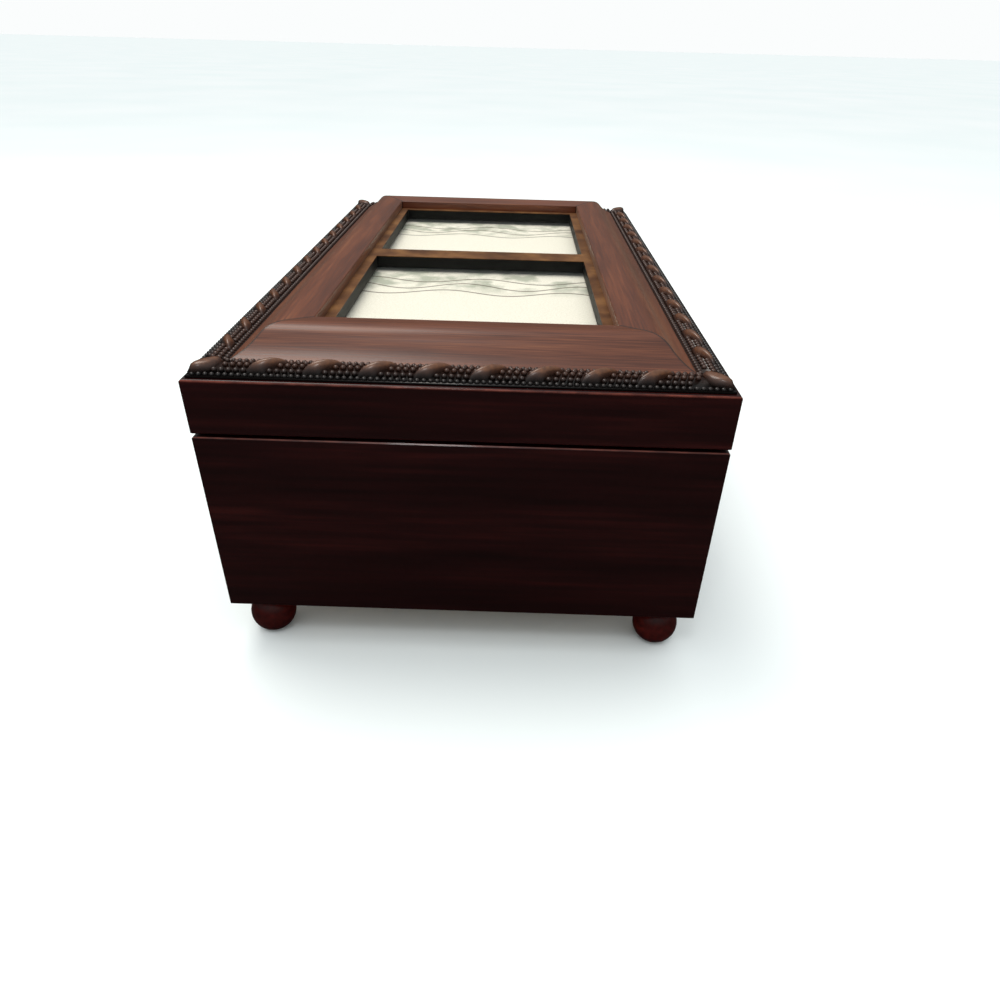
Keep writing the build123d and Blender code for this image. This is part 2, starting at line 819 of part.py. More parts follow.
def make_winding_key() -> None:
    """Winding key: a hub on the arbor and a pierced two-lobed wing to grip."""
    hub_top = underside - key_hub_top_gap
    wing_middle = key_floor_gap + key_wing_height / 2
    lobe = key_wing_height / 2
    reach = key_wing_span / 2 - lobe
    with BuildPart() as winding_key:
        rod((winding_x, winding_y, hub_top - key_hub_height), (0, 0, 1), key_hub_radius, key_hub_height)
        with BuildSketch(Plane.XZ.offset(-winding_y)):
            with Locations((winding_x - reach, wing_middle), (winding_x + reach, wing_middle)):
                Circle(lobe)
            with Locations((winding_x, wing_middle)):
                Rectangle(2 * reach, key_wing_height * key_wing_web)
            with Locations((winding_x - reach, wing_middle), (winding_x + reach, wing_middle)):
                Circle(key_wing_hole, mode=Mode.SUBTRACT)
        extrude(amount=key_wing_thickness / 2, both=True)
        rod(
            (winding_x, winding_y, hub_top - key_hub_height + key_bore_floor), (0, 0, 1),
            arbor_radius + key_bore_slip, key_hub_height, Mode.SUBTRACT,
        )
    keep(winding_key, "winding_key")


def make_cylinder() -> None:
    """Pinned cylinder on its shaft, with the driven pinion and the gear that passes the turn on."""
    track_pitch = (drum_end - drum_start) / comb_teeth
    with BuildPart() as pinned_cylinder:
        start = pinion_start - shaft_overhang
        length = far_post_start + post_thickness - start
        rod((winding_x + start, winding_y, axis_z), (1, 0, 0), drum_shaft_radius, length)
        rod((winding_x + drum_start, winding_y, axis_z), (1, 0, 0), drum_radius, drum_end - drum_start)
        with BuildSketch(axle_plane(pinion_start, winding_y, axis_z)):
            gear_face(pinion_teeth, pinion_radius, -90)
        extrude(amount=pinion_end - pinion_start)
        with BuildSketch(axle_plane(train_start, winding_y, axis_z)):
            gear_face(cylinder_gear_teeth, cylinder_gear_radius, 0)
        extrude(amount=train_thickness)
        for track in range(comb_teeth):
            x = winding_x + drum_start + (track + 0.5) * track_pitch
            angle = math.radians(pin_turn * track)
            radial = Vector(0, math.cos(angle), math.sin(angle))
            foot = Vector(x, winding_y, axis_z) + radial * (drum_radius - pin_root)
            with BuildSketch(Plane(foot, x_dir=(1, 0, 0), z_dir=radial)):
                Rectangle(pin_size, pin_size)
        extrude(amount=pin_root + pin_height)
    keep(pinned_cylinder, "pinned_cylinder")


def make_comb() -> None:
    """Steel comb, slotted into tuned teeth that reach the pins of the cylinder."""
    left, right = winding_x + drum_start, winding_x + drum_end
    tip = winding_y - drum_radius - pin_height - comb_tip_gap
    pitch = (right - left) / comb_teeth
    with BuildPart() as comb:
        block(
            (left, right), (winding_y - comb_back_y, tip),
            (axis_z - comb_thickness / 2, axis_z + comb_thickness / 2),
        )
        for tooth in range(1, comb_teeth):
            x = left + tooth * pitch
            root = winding_y - comb_root_y + bass_tooth_gain * tooth / comb_teeth
            block(
                (x - comb_slot / 2, x + comb_slot / 2), (root, tip),
                (axis_z - comb_thickness / 2, axis_z + comb_thickness / 2), Mode.SUBTRACT,
            )
    keep(comb, "comb")


def make_mounting_screws() -> None:
    """The three long screws that hold the movement from under the base."""
    with BuildPart() as mounting_screws:
        for x, y in mount_screw_places():
            bottom = underside - mount_screw_head_height
            rod((x, y, bottom), (0, 0, 1), mount_screw_head, mount_screw_head_height)
            rod((x, y, underside), (0, 0, 1), mount_screw_shank, base_thickness + bed_thickness - glue_gap)
    keep(mounting_screws, "mounting_screws")


def make_governor() -> None:
    """Bracket, wheel and fan that hold the cylinder to an even speed."""
    near, far = winding_x + bracket_near, winding_x + bracket_far
    edge, back = winding_y + bracket_edge_y, winding_y + bracket_back_y
    with BuildPart() as governor_bracket:
        block(
            (near, far + bracket_plate), (winding_y + bracket_foot_y, back),
            (bed_top, bed_top + bracket_foot_thickness),
        )
        for x in (bracket_near, bracket_far):
            with BuildSketch(axle_plane(x, 0, 0)):
                outline([
                    (edge, bed_top), (back, bed_top), (back, bed_top + bracket_shoulder),
                    (fan_y + bracket_around_fan, fan_z + bracket_around_fan),
                    (edge, fan_z + bracket_around_fan),
                ])
        extrude(amount=bracket_plate)
        for y, z, radius in ((wheel_y, axis_z, wheel_shaft_radius), (fan_y, fan_z, fan_shaft_radius)):
            rod(
                (near, y, z), (1, 0, 0), radius + bearing_slip, far - near + bracket_plate,
                Mode.SUBTRACT,
            )
    keep(governor_bracket, "governor_bracket")
    shaft_start = near + glue_gap
    with BuildPart() as governor_wheel:
        shaft = far + bracket_plate - glue_gap - shaft_start
        rod((shaft_start, wheel_y, axis_z), (1, 0, 0), wheel_shaft_radius, shaft)
        with BuildSketch(axle_plane(train_start, wheel_y, axis_z)):
            gear_face(governor_pinion_teeth, governor_pinion_radius, 180 + 180 / governor_pinion_teeth)
        extrude(amount=train_thickness)
        with BuildSketch(axle_plane(train_start + train_step, wheel_y, axis_z)):
            gear_face(governor_wheel_teeth, governor_wheel_radius, fan_direction)
        extrude(amount=train_thickness)
    keep(governor_wheel, "governor_wheel")
    with BuildPart() as governor_fan:
        brake_start = far + bracket_plate + brake_clearance
        shaft = brake_start + brake_thickness - shaft_start
        rod((shaft_start, fan_y, fan_z), (1, 0, 0), fan_shaft_radius, shaft)
        with BuildSketch(axle_plane(train_start + train_step, fan_y, fan_z)):
            gear_face(fan_pinion_teeth, fan_pinion_radius, fan_direction + 180 + 180 / fan_pinion_teeth)
        extrude(amount=train_thickness)
        block(
            (winding_x + fan_blade_start, winding_x + fan_blade_end),
            (fan_y - fan_blade_radius, fan_y + fan_blade_radius),
            (fan_z - fan_blade_thickness / 2, fan_z + fan_blade_thickness / 2),
        )
        rod((brake_start, fan_y, fan_z), (1, 0, 0), brake_radius, brake_thickness)
    keep(governor_fan, "governor_fan")


def make_plunger() -> None:
    """Plunger that the lid presses down, its brake arm, and the guide that stands on the base."""
    with BuildPart() as stop_plunger:
        rod((plunger_x, fan_y, plunger_foot), (0, 0, 1), plunger_radius, plunger_top - plunger_foot)
        block(
            (winding_x + bracket_far + bracket_plate + arm_from_bracket, plunger_x),
            (fan_y - arm_width / 2, fan_y + arm_width / 2), (arm_bottom, arm_bottom + arm_thickness),
        )
    keep(stop_plunger, "stop_plunger")
    with BuildPart() as plunger_guide:
        rod((plunger_x, fan_y, floor_top), (0, 0, 1), guide_radius, guide_height)
        rod(
            (plunger_x, fan_y, floor_top), (0, 0, 1), plunger_radius + guide_slip, guide_height,
            Mode.SUBTRACT,
        )
    keep(plunger_guide, "plunger_guide")


os.makedirs("parts", exist_ok=True)
for side_name in INWARD:
    make_case_side(side_name)
    make_lid_rail(side_name)
    make_moulding(side_name)
    make_trim(side_name)
make_feet()
make_case_base()
make_lining()
make_dividers()
make_ring_pad()
make_music_cover()
for hinge_name, hinge_middle in hinge_places():
    make_hinge(hinge_name, hinge_middle)
make_button_screws()
make_pictures()
make_turn_button("front", -1)
make_turn_button("back", 1)
make_lid_fittings()
make_bedplate()
make_spring_barrel()
make_main_gear()
make_winding_key()
make_cylinder()
make_comb()
make_mounting_screws()
make_governor()
make_plunger()
print(len(made), "pieces; lid top at", round(crest, 2), "mm; plunger travel", plunger_travel, "mm")
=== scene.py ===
import logging
import math
import random
from dataclasses import dataclass
from enum import Enum

import bmesh
import bpy
from mathutils import Matrix, Vector


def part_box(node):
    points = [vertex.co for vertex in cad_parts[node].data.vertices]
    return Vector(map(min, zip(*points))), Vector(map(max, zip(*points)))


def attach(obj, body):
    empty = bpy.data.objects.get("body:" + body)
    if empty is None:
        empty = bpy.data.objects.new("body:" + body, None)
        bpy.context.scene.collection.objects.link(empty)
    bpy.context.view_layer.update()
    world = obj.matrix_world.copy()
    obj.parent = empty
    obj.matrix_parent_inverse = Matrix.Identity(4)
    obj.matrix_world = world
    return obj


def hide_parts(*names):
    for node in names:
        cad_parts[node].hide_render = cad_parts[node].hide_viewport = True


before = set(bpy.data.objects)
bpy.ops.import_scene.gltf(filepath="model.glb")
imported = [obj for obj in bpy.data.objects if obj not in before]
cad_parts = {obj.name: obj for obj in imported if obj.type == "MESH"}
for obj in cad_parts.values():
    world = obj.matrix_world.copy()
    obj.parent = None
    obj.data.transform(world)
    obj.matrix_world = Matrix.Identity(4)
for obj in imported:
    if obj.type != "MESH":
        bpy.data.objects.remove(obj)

# Musical jewelry box: dark red lacquered case, walnut picture mouldings, antiqued ribbon-and-bead
# trim, two glazed picture windows, velvet lining and a pinned-cylinder movement.
# Sizes in this file are millimetres in the frame of the solids; meshes are made in metres.

log = logging.getLogger("jewelry_box")
MM = 0.001
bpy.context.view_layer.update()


class Side(Enum):
    """A side of the box, with the direction that points inwards from its outer face."""

    FRONT = (0.0, 1.0)
    BACK = (0.0, -1.0)
    LEFT = (1.0, 0.0)
    RIGHT = (-1.0, 0.0)

    @property
    def long(self) -> bool:
        """True for the two sides that run along X."""
        return self in (Side.FRONT, Side.BACK)

    @property
    def word(self) -> str:
        """The side's name as the solids spell it."""
        return self.name.lower()


class Grain(Enum):
    """Direction that the wood's grain runs."""

    ALONG_X = 0.0
    ALONG_Y = math.pi / 2


@dataclass(frozen=True)
class BoxSizes:
    """Outer sizes and levels that several sub-assemblies share, in millimetres."""

    half_length: float = 124.0
    half_depth: float = 76.2
    rim: float = 79.3
    ledge: float = 96.7
    winding_x: float = 62.5
    winding_y: float = 36.35
    cylinder_z: float = 35.4
    bed_top: float = 25.9

    def reach(self, side: Side) -> float:
        """Distance from the middle of the box to a side's outer face."""
        return self.half_depth if side.long else self.half_length

    def run(self, side: Side) -> float:
        """Outer length of a side."""
        return 2 * (self.half_length if side.long else self.half_depth)

    def placing(self, side: Side) -> Matrix:
        """Matrix from a side's own millimetres to the row frame.

        Args:
            side: The side whose own x runs along it, y inwards and z up.

        Returns:
            The matrix, with the change to metres in it.
        """
        inward = Vector((*side.value, 0.0))
        along = Vector((inward.y, -inward.x, 0.0))
        origin = -inward * self.reach(side)
        turn = Matrix((along, inward, (0, 0, 1))).transposed().to_4x4()
        return Matrix.Scale(MM, 4) @ Matrix.Translation(origin) @ turn


SIZES = BoxSizes()


def linear(colour: str) -> tuple[float, float, float, float]:
    """Turn an sRGB hex colour into the linear values that shaders take.

    Args:
        colour: Six hex digits after a hash sign.

    Returns:
        Red, green, blue and an alpha of 1.
    """
    parts = [int(colour[start:start + 2], 16) / 255 for start in (1, 3, 5)]
    values = [p / 12.92 if p <= 0.04045 else ((p + 0.055) / 1.055) ** 2.4 for p in parts]
    return (values[0], values[1], values[2], 1.0)


def add(tree: bpy.types.NodeTree, kind: str, inputs: dict | None = None,
        **settings: object) -> bpy.types.Node:
    """Add a shader node with its settings, values and links.

    Args:
        tree: Node tree that gets the node.
        kind: Blender's name of the node type.
        inputs: Socket name or number to a value, or to the output socket that feeds it.
        settings: Properties of the node.

    Returns:
        The new node.
    """
    node = tree.nodes.new(kind)
    for key, value in settings.items():
        setattr(node, key, value)
    for key, value in (inputs or {}).items():
        if isinstance(value, bpy.types.NodeSocket):
            tree.links.new(value, node.inputs[key])
        else:
            node.inputs[key].default_value = value
    return node


def ramp(tree: bpy.types.NodeTree, factor: bpy.types.NodeSocket,
         stops: list[tuple[float, str]]) -> bpy.types.NodeSocket:
    """Colours by position along a factor.

    Args:
        tree: Node tree of the material.
        factor: Socket with values from 0 to 1.
        stops: Position and hex colour of each stop, in order.

    Returns:
        The colour socket.
    """
    node = add(tree, "ShaderNodeValToRGB", {"Fac": factor})
    elements = node.color_ramp.elements
    while len(elements) < len(stops):
        elements.new(0.5)
    for element, (position, colour) in zip(elements, stops):
        element.position = position
        element.color = linear(colour)
    return node.outputs["Color"]


def noise(tree: bpy.types.NodeTree, vector: bpy.types.NodeSocket, size: tuple[float, float, float],
          detail: float = 3.0, turn: float = 0.0) -> bpy.types.NodeSocket:
    """Soft noise whose spots have a size in millimetres along each axis.

    Args:
        tree: Node tree of the material.
        vector: Coordinates that the pattern follows.
        size: Size of a spot along X, Y and Z before the turn.
        detail: Octaves of finer noise on top.
        turn: Turn of the pattern about Z, in radians.

    Returns:
        The factor socket.
    """
    scale = tuple(1 / (MM * value) for value in size)
    turned = add(tree, "ShaderNodeMapping", {"Vector": vector, "Rotation": (0.0, 0.0, turn)})
    factors = {0: turned.outputs[0], 1: scale}
    sized = add(tree, "ShaderNodeVectorMath", factors, operation="MULTIPLY")
    inputs = {"Vector": sized.outputs[0], "Scale": 1.0, "Detail": detail}
    return add(tree, "ShaderNodeTexNoise", inputs).outputs["Fac"]


def spread(tree: bpy.types.NodeTree, value: bpy.types.NodeSocket, low: float, high: float,
           to_low: float = 0.0, to_high: float = 1.0) -> bpy.types.NodeSocket:
    """Map a value evenly from one range to another, held at the ends.

    Args:
        tree: Node tree that the step belongs to.
        value: Socket with the value.
        low: Value that gives to_low.
        high: Value that gives to_high.
        to_low: Result at the low end.
        to_high: Result at the high end.

    Returns:
        The result's socket.
    """
    node = add(tree, "ShaderNodeMapRange", {"Value": value, "From Min": low, "From Max": high,
                                            "To Min": to_low, "To Max": to_high})
    return node.outputs["Result"]


def blend_colour(tree: bpy.types.NodeTree, factor: bpy.types.NodeSocket, first: object,
                 second: object) -> bpy.types.NodeSocket:
    """Mix two colours.

    Args:
        tree: Node tree of the material.
        factor: Socket with 0 for the first colour and 1 for the second.
        first: Socket or linear colour.
        second: Socket or linear colour.

    Returns:
        The colour socket.
    """
    colours = {0: factor, 6: first, 7: second}
    return add(tree, "ShaderNodeMix", colours, data_type="RGBA").outputs[2]


def compute(tree: bpy.types.NodeTree, operation: str, first: object,
            second: object = 0.0) -> bpy.types.NodeSocket:
    """One arithmetic step.

    Args:
        tree: Node tree that the step belongs to.
        operation: Blender's name of the operation.
        first: Socket or number.
        second: Socket or number, not used by operations on one value.

    Returns:
        The result's socket.
    """
    return add(tree, "ShaderNodeMath", {0: first, 1: second}, operation=operation).outputs[0]


def weigh(tree: bpy.types.NodeTree, first: bpy.types.NodeSocket, share: float,
          second: bpy.types.NodeSocket, other: float) -> bpy.types.NodeSocket:
    """Sum of two patterns.

    Args:
        tree: Node tree of the material.
        first: Socket of the first pattern.
        share: Factor of the first pattern.
        second: Socket of the second pattern.
        other: Factor of the second pattern.

    Returns:
        The sum's socket.
    """
    return compute(tree, "ADD", compute(tree, "MULTIPLY", first, share),
                   compute(tree, "MULTIPLY", second, other))


@dataclass(frozen=True)
class Finish:
    """What every finish shares: its name and the empty material it starts from."""

    name: str

    def start(self, **values: object) -> tuple[
            bpy.types.Material, bpy.types.NodeTree, bpy.types.Node, bpy.types.NodeSocket]:
        """Make the material with plain numbers on its shader.

        Args:
            values: Shader socket names, with underscores for spaces, and their numbers.

        Returns:
            The material, its node tree, its shader and the object coordinates.
        """
        material = bpy.data.materials.new(self.name)
        material.use_nodes = True
        tree = material.node_tree
        shader = tree.nodes["Principled BSDF"]
        for key, value in values.items():
            shader.inputs[key.replace("_", " ")].default_value = value
        return material, tree, shader, add(tree, "ShaderNodeTexCoord").outputs["Object"]

    def bump(self, tree: bpy.types.NodeTree, shader: bpy.types.Node, height: bpy.types.NodeSocket,
             depth: float, strength: float = 1.0) -> None:
        """Raise the surface by a height pattern.

        Args:
            tree: Node tree of the material.
            shader: Shader that the raised surface goes to.
            height: Socket of the pattern.
            depth: Depth of the full pattern, in millimetres.
            strength: Share of the effect.
        """
        inputs = {"Height": height, "Distance": depth * MM, "Strength": strength}
        tree.links.new(add(tree, "ShaderNodeBump", inputs).outputs[0], shader.inputs["Normal"])


@dataclass(frozen=True)
class Lacquer(Finish):
    """Mahogany under coats of dark red lacquer, rubbed out: near black, glossy, faint grain.

    Along the edges whose levels are given, in millimetres, a lighter red is painted in broken
    patches: partly lacquer rubbed thin, partly a painted highlight where the edges catch the light.
    """

    grain: Grain = Grain.ALONG_X
    edge_highlight_and_wear_levels: tuple[tuple[float, float], ...] = ((78.9, 79.2), (95.95, 96.5))
    colours: tuple[str, str, str] = ("#120101", "#1e0202", "#2e0604")

    def build(self) -> bpy.types.Material:
        """Make the material."""
        material, tree, shader, coords = self.start(
            Roughness=0.3, Coat_Weight=0.18, Coat_Roughness=0.07, Specular_IOR_Level=0.22)
        pores = noise(tree, coords, (38.0, 1.6, 1.6), 5.0, self.grain.value)
        bands = noise(tree, coords, (160.0, 14.0, 14.0), 2.0, self.grain.value)
        mixed = compute(tree, "MULTIPLY", pores, bands)
        wood = ramp(tree, mixed, list(zip((0.1, 0.28, 0.46), self.colours)))
        height = add(tree, "ShaderNodeSeparateXYZ", {0: coords}).outputs["Z"]
        chips = spread(tree, noise(tree, coords, (5.0, 5.0, 1.2), 5.0), 0.38, 0.62, 0.3, 0.85)
        # Painted highlight lines along the top edges of body and lid, broken up by chips like
        # rubbed-thin lacquer.
        for low, high in self.edge_highlight_and_wear_levels:
            band = spread(tree, height, low * MM, high * MM)
            below = spread(tree, height, (high + 0.05) * MM, (high + 0.09) * MM, 1.0, 0.0)
            edge_highlight_and_wear = compute(tree, "MULTIPLY", compute(tree, "MULTIPLY", band, below), chips)
            wood = blend_colour(tree, edge_highlight_and_wear, wood, linear("#7c3a2c"))
        tree.links.new(wood, shader.inputs["Base Color"])
        self.bump(tree, shader, noise(tree, coords, (2.2, 2.2, 2.2), 2.0), 0.01, 0.25)
        return material


@dataclass(frozen=True)
class Walnut(Finish):
    """Oiled and waxed walnut moulding: satin, reddish brown, fine grain, dark at the mitres."""

    grain: Grain = Grain.ALONG_X

    def build(self) -> bpy.types.Material:
        """Make the material."""
        material, tree, shader, coords = self.start(
            Roughness=0.42, Coat_Weight=0.2, Coat_Roughness=0.24, Specular_IOR_Level=0.45,
            Sheen_Weight=0.16, Sheen_Roughness=0.35, Sheen_Tint=linear("#dcc4ac"))
        fine = noise(tree, coords, (18.0, 0.3, 0.3), 6.0, self.grain.value)
        broad = noise(tree, coords, (90.0, 7.0, 7.0), 3.0, self.grain.value)
        mixed = weigh(tree, fine, 0.55, broad, 0.45)
        wood = ramp(tree, mixed, [
            (0.3, "#3a170a"), (0.46, "#55260f"), (0.58, "#6c3619"), (0.72, "#834e2b")])
        parts = add(tree, "ShaderNodeSeparateXYZ", {0: coords})
        across = compute(tree, "ABSOLUTE", parts.outputs["X"])
        deep = compute(tree, "ABSOLUTE", parts.outputs["Y"])
        from_end = compute(tree, "SUBTRACT", SIZES.half_length * MM, across)
        from_side = compute(tree, "SUBTRACT", SIZES.half_depth * MM, deep)
        mitre = compute(tree, "ABSOLUTE", compute(tree, "SUBTRACT", from_end, from_side))
        joint = spread(tree, mitre, 0.15 * MM, 0.75 * MM, 0.85, 0.0)
        wood = blend_colour(tree, joint, wood, linear("#150906"))
        tree.links.new(wood, shader.inputs["Base Color"])
        roughness = spread(tree, fine, 0.3, 0.7, 0.34, 0.52)
        tree.links.new(roughness, shader.inputs["Roughness"])
        self.bump(tree, shader, fine, 0.06, 0.35)
        return material


@dataclass(frozen=True)
class AntiquedTrim(Finish):
    """Pressed wood ornament under a dark glaze wiped off the high places: tan crowns, dark recesses.

    The colour goes from dark to light between the levels of foot and crown, in millimetres: the
    glaze wiped off the high places, with painted shade in the recesses and painted light on the
    crowns.
    """

    foot: float = 97.5
    crown: float = 100.4

    def build(self) -> bpy.types.Material:
        """Make the material."""
        material, tree, shader, coords = self.start(
            Roughness=0.34, Metallic=0.1, Coat_Weight=0.3, Coat_Roughness=0.18)
        height = add(tree, "ShaderNodeSeparateXYZ", {0: coords}).outputs["Z"]
        # Height sets the colour: wiped glaze together with painted shade low down and painted light
        # on the crowns.
        raised = spread(tree, height, self.foot * MM, self.crown * MM)
        rubbed = noise(tree, coords, (1.4, 1.4, 1.4), 5.0)
        mixed = weigh(tree, raised, 0.72, rubbed, 0.3)
        colour = ramp(tree, mixed, [
            (0.25, "#080403"), (0.5, "#24120b"), (0.75, "#402314"), (0.96, "#704528")])
        tree.links.new(colour, shader.inputs["Base Color"])
        self.bump(tree, shader, rubbed, 0.05, 0.4)
        return material


@dataclass(frozen=True)
class PaintedLiner(Finish):
    """Painted wooden liner: golden brown on its flat top, with near-black painted shade on the walls
    where the openings drop away.

    The level of the flat top is given in millimetres.
    """

    top: float = 101.6

    def build(self) -> bpy.types.Material:
        """Make the material."""
        material, tree, shader, coords = self.start(Roughness=0.55, Specular_IOR_Level=0.2)
        dust = noise(tree, coords, (9.0, 9.0, 9.0), 5.0)
        brush = noise(tree, coords, (1.0, 1.0, 1.0), 4.0)
        colour = ramp(tree, dust, [(0.32, "#4a2c16"), (0.5, "#634023"), (0.68, "#7d5630")])
        height = add(tree, "ShaderNodeSeparateXYZ", {0: coords}).outputs["Z"]
        # Below the flat top the walls of the openings are painted near black: painted shade.
        flat = spread(tree, height, (self.top - 0.3) * MM, (self.top - 0.1) * MM)
        colour = blend_colour(tree, flat, linear("#050605"), colour)
        tree.links.new(colour, shader.inputs["Base Color"])
        self.bump(tree, shader, brush, 0.04, 0.3)
        return material


@dataclass(frozen=True)
class PictureGlass(Finish):
    """Float glass, clear with a faint green; light passes through it to the card."""

    def build(self) -> bpy.types.Material:
        """Make the material."""
        material, tree, shader, coords = self.start(
            Base_Color=linear("#eaf1ee"), Roughness=0.04, Alpha=0.05, Specular_IOR_Level=0.5)
        smear = noise(tree, coords, (30.0, 30.0, 30.0), 4.0)
        tree.links.new(spread(tree, smear, 0.4, 0.7, 0.03, 0.09), shader.inputs["Roughness"])
        return material


@dataclass(frozen=True)
class PictureCard(Finish):
    """Uncoated cream card, with a sage wash under thin wavy lines beside each window's right edge.

    Sizes are in millimetres from a window's middle; each line has its place, its reach to both
    sides and its phase.
    """

    window_middle: float = 47.8
    wash_from: float = 12.0
    wash_full: float = 24.0
    waves_per_metre: float = 22.0
    lines: tuple[tuple[float, float, float], ...] = (
        (15.0, 3.0, 0.0), (23.0, 4.0, 0.9), (31.0, 3.0, 1.8))

    def build(self) -> bpy.types.Material:
        """Make the material."""
        material, tree, shader, coords = self.start(Roughness=0.8, Specular_IOR_Level=0.3)
        parts = add(tree, "ShaderNodeSeparateXYZ", {0: coords})
        side = compute(tree, "SIGN", parts.outputs["X"])
        middle = compute(tree, "MULTIPLY", side, self.window_middle * MM)
        across = compute(tree, "SUBTRACT", parts.outputs["X"], middle)
        turn = compute(tree, "MULTIPLY", parts.outputs["Y"], 2 * math.pi * self.waves_per_metre)
        ink = None
        for centre, reach, phase in self.lines:
            wave = compute(tree, "SINE", compute(tree, "ADD", turn, phase))
            line = compute(tree, "ADD", centre * MM, compute(tree, "MULTIPLY", wave, reach * MM))
            off = compute(tree, "ABSOLUTE", compute(tree, "SUBTRACT", across, line))
            drawn = spread(tree, off, 0.3 * MM, 0.8 * MM, 0.8, 0.0)
            ink = drawn if ink is None else compute(tree, "MAXIMUM", ink, drawn)
        mottle = spread(tree, noise(tree, coords, (9.0, 9.0, 9.0), 5.0), 0.42, 0.6)
        wash = spread(tree, across, self.wash_from * MM, self.wash_full * MM, 0.0, 0.65)
        fibre = noise(tree, coords, (0.6, 0.6, 0.6), 4.0)
        paper = ramp(tree, fibre, [(0.3, "#d8d3c2"), (0.7, "#e6e2d4")])
        tinted = compute(tree, "MULTIPLY", mottle, wash)
        paper = blend_colour(tree, tinted, paper, linear("#7f8872"))
        paper = blend_colour(tree, ink, paper, linear("#57493a"))
        tree.links.new(paper, shader.inputs["Base Color"])
        self.bump(tree, shader, fibre, 0.02, 0.3)
        return material


@dataclass(frozen=True)
class Velvet(Finish):
    """Cut-pile velvet: deep burgundy, lighter where the pile leans, with a soft edge sheen."""

    dark: str = "#36070f"
    light: str = "#54101c"

    def build(self) -> bpy.types.Material:
        """Make the material, with a pile 0.5 mm wide, coarser than real, so that it shows."""
        material, tree, shader, coords = self.start(
            Roughness=0.95, Sheen_Weight=0.5, Sheen_Roughness=0.4, Sheen_Tint=linear("#d08a93"))
        lean = noise(tree, coords, (34.0, 34.0, 34.0), 2.0)
        pile = noise(tree, coords, (0.5, 0.5, 0.5), 2.0)
        mixed = weigh(tree, lean, 0.7, pile, 0.3)
        colour = ramp(tree, mixed, [(0.35, self.dark), (0.65, self.light)])
        tree.links.new(colour, shader.inputs["Base Color"])
        self.bump(tree, shader, pile, 0.25, 0.5)
        return material


@dataclass(frozen=True)
class PlainWood(Finish):
    """Unfinished plywood and softwood: pale brown, dry, with open grain."""

    def build(self) -> bpy.types.Material:
        """Make the material."""
        material, tree, shader, coords = self.start(Roughness=0.75)
        grain = noise(tree, coords, (60.0, 0.8, 3.0), 5.0)
        colour = ramp(tree, grain, [(0.3, "#75573a"), (0.5, "#846643"), (0.7, "#94764f")])
        tree.links.new(colour, shader.inputs["Base Color"])
        self.bump(tree, shader, grain, 0.08, 0.5)
        return material


@dataclass(frozen=True)
class Metal(Finish):
    """Turned, rolled or cast metal with fine marks and a little tarnish."""

    dark: str = "#8a6a35"
    light: str = "#c9a560"
    roughness: float = 0.3
    marks: tuple[float, float, float] = (0.3, 4.0, 4.0)
    mark_depth: float = 0.01

    def build(self) -> bpy.types.Material:
        """Make the material."""
        material, tree, shader, coords = self.start(Metallic=1.0, Roughness=self.roughness)
        tarnish = noise(tree, coords, (6.0, 6.0, 6.0), 5.0)
        marks = noise(tree, coords, self.marks, 3.0)
        colour = ramp(tree, tarnish, [(0.35, self.dark), (0.65, self.light)])
        tree.links.new(colour, shader.inputs["Base Color"])
        dulled = spread(tree, tarnish, 0.3, 0.7, self.roughness + 0.12, self.roughness - 0.06)
        tree.links.new(dulled, shader.inputs["Roughness"])
        self.bump(tree, shader, marks, self.mark_depth, 0.5)
        return material


def keep(mesh: bmesh.types.BMesh, name: str, material: bpy.types.Material, body: str,
         replaces: tuple[str, ...] = (), smooth: bool = True) -> bpy.types.Object:
    """Turn a finished bmesh into a piece that rides on a body.

    Args:
        mesh: The shape, already in metres in the row frame. It is freed.
        name: Name of the piece.
        material: Its finish.
        body: Body that carries it.
        replaces: Solids that it stands for.
        smooth: Whether its faces are shaded smooth.

    Returns:
        The new object.
    """
    data = bpy.data.meshes.new(name)
    mesh.to_mesh(data)
    mesh.free()
    data.polygons.foreach_set("use_smooth", [smooth] * len(data.polygons))
    data.materials.append(material)
    piece = bpy.data.objects.new(name, data)
    bpy.context.scene.collection.objects.link(piece)
    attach(piece, body)
    if replaces:
        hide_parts(*replaces)
    log.info("%s: %d faces on %s", name, len(data.polygons), body)
    return piece


def pillow(cuts: int) -> bmesh.types.BMesh:
    """Closed block of even squares, from -1 to 1 on each axis, that a soft form is shaped from."""
    mesh = bmesh.new()
    cube = bmesh.ops.create_cube(mesh, size=2.0)
    edges = list({edge for vert in cube["verts"] for edge in vert.link_edges})
    bmesh.ops.subdivide_edges(mesh, edges=edges, cuts=cuts, use_grid_fill=True)
    return mesh


def join(target: bmesh.types.BMesh, part: bmesh.types.BMesh) -> None:
    """Add a part to a larger mesh and free it; parts are shaped alone because that is quicker."""
    carrier = bpy.data.meshes.new("part")
    part.to_mesh(carrier)
    part.free()
    target.from_mesh(carrier)
    bpy.data.meshes.remove(carrier)


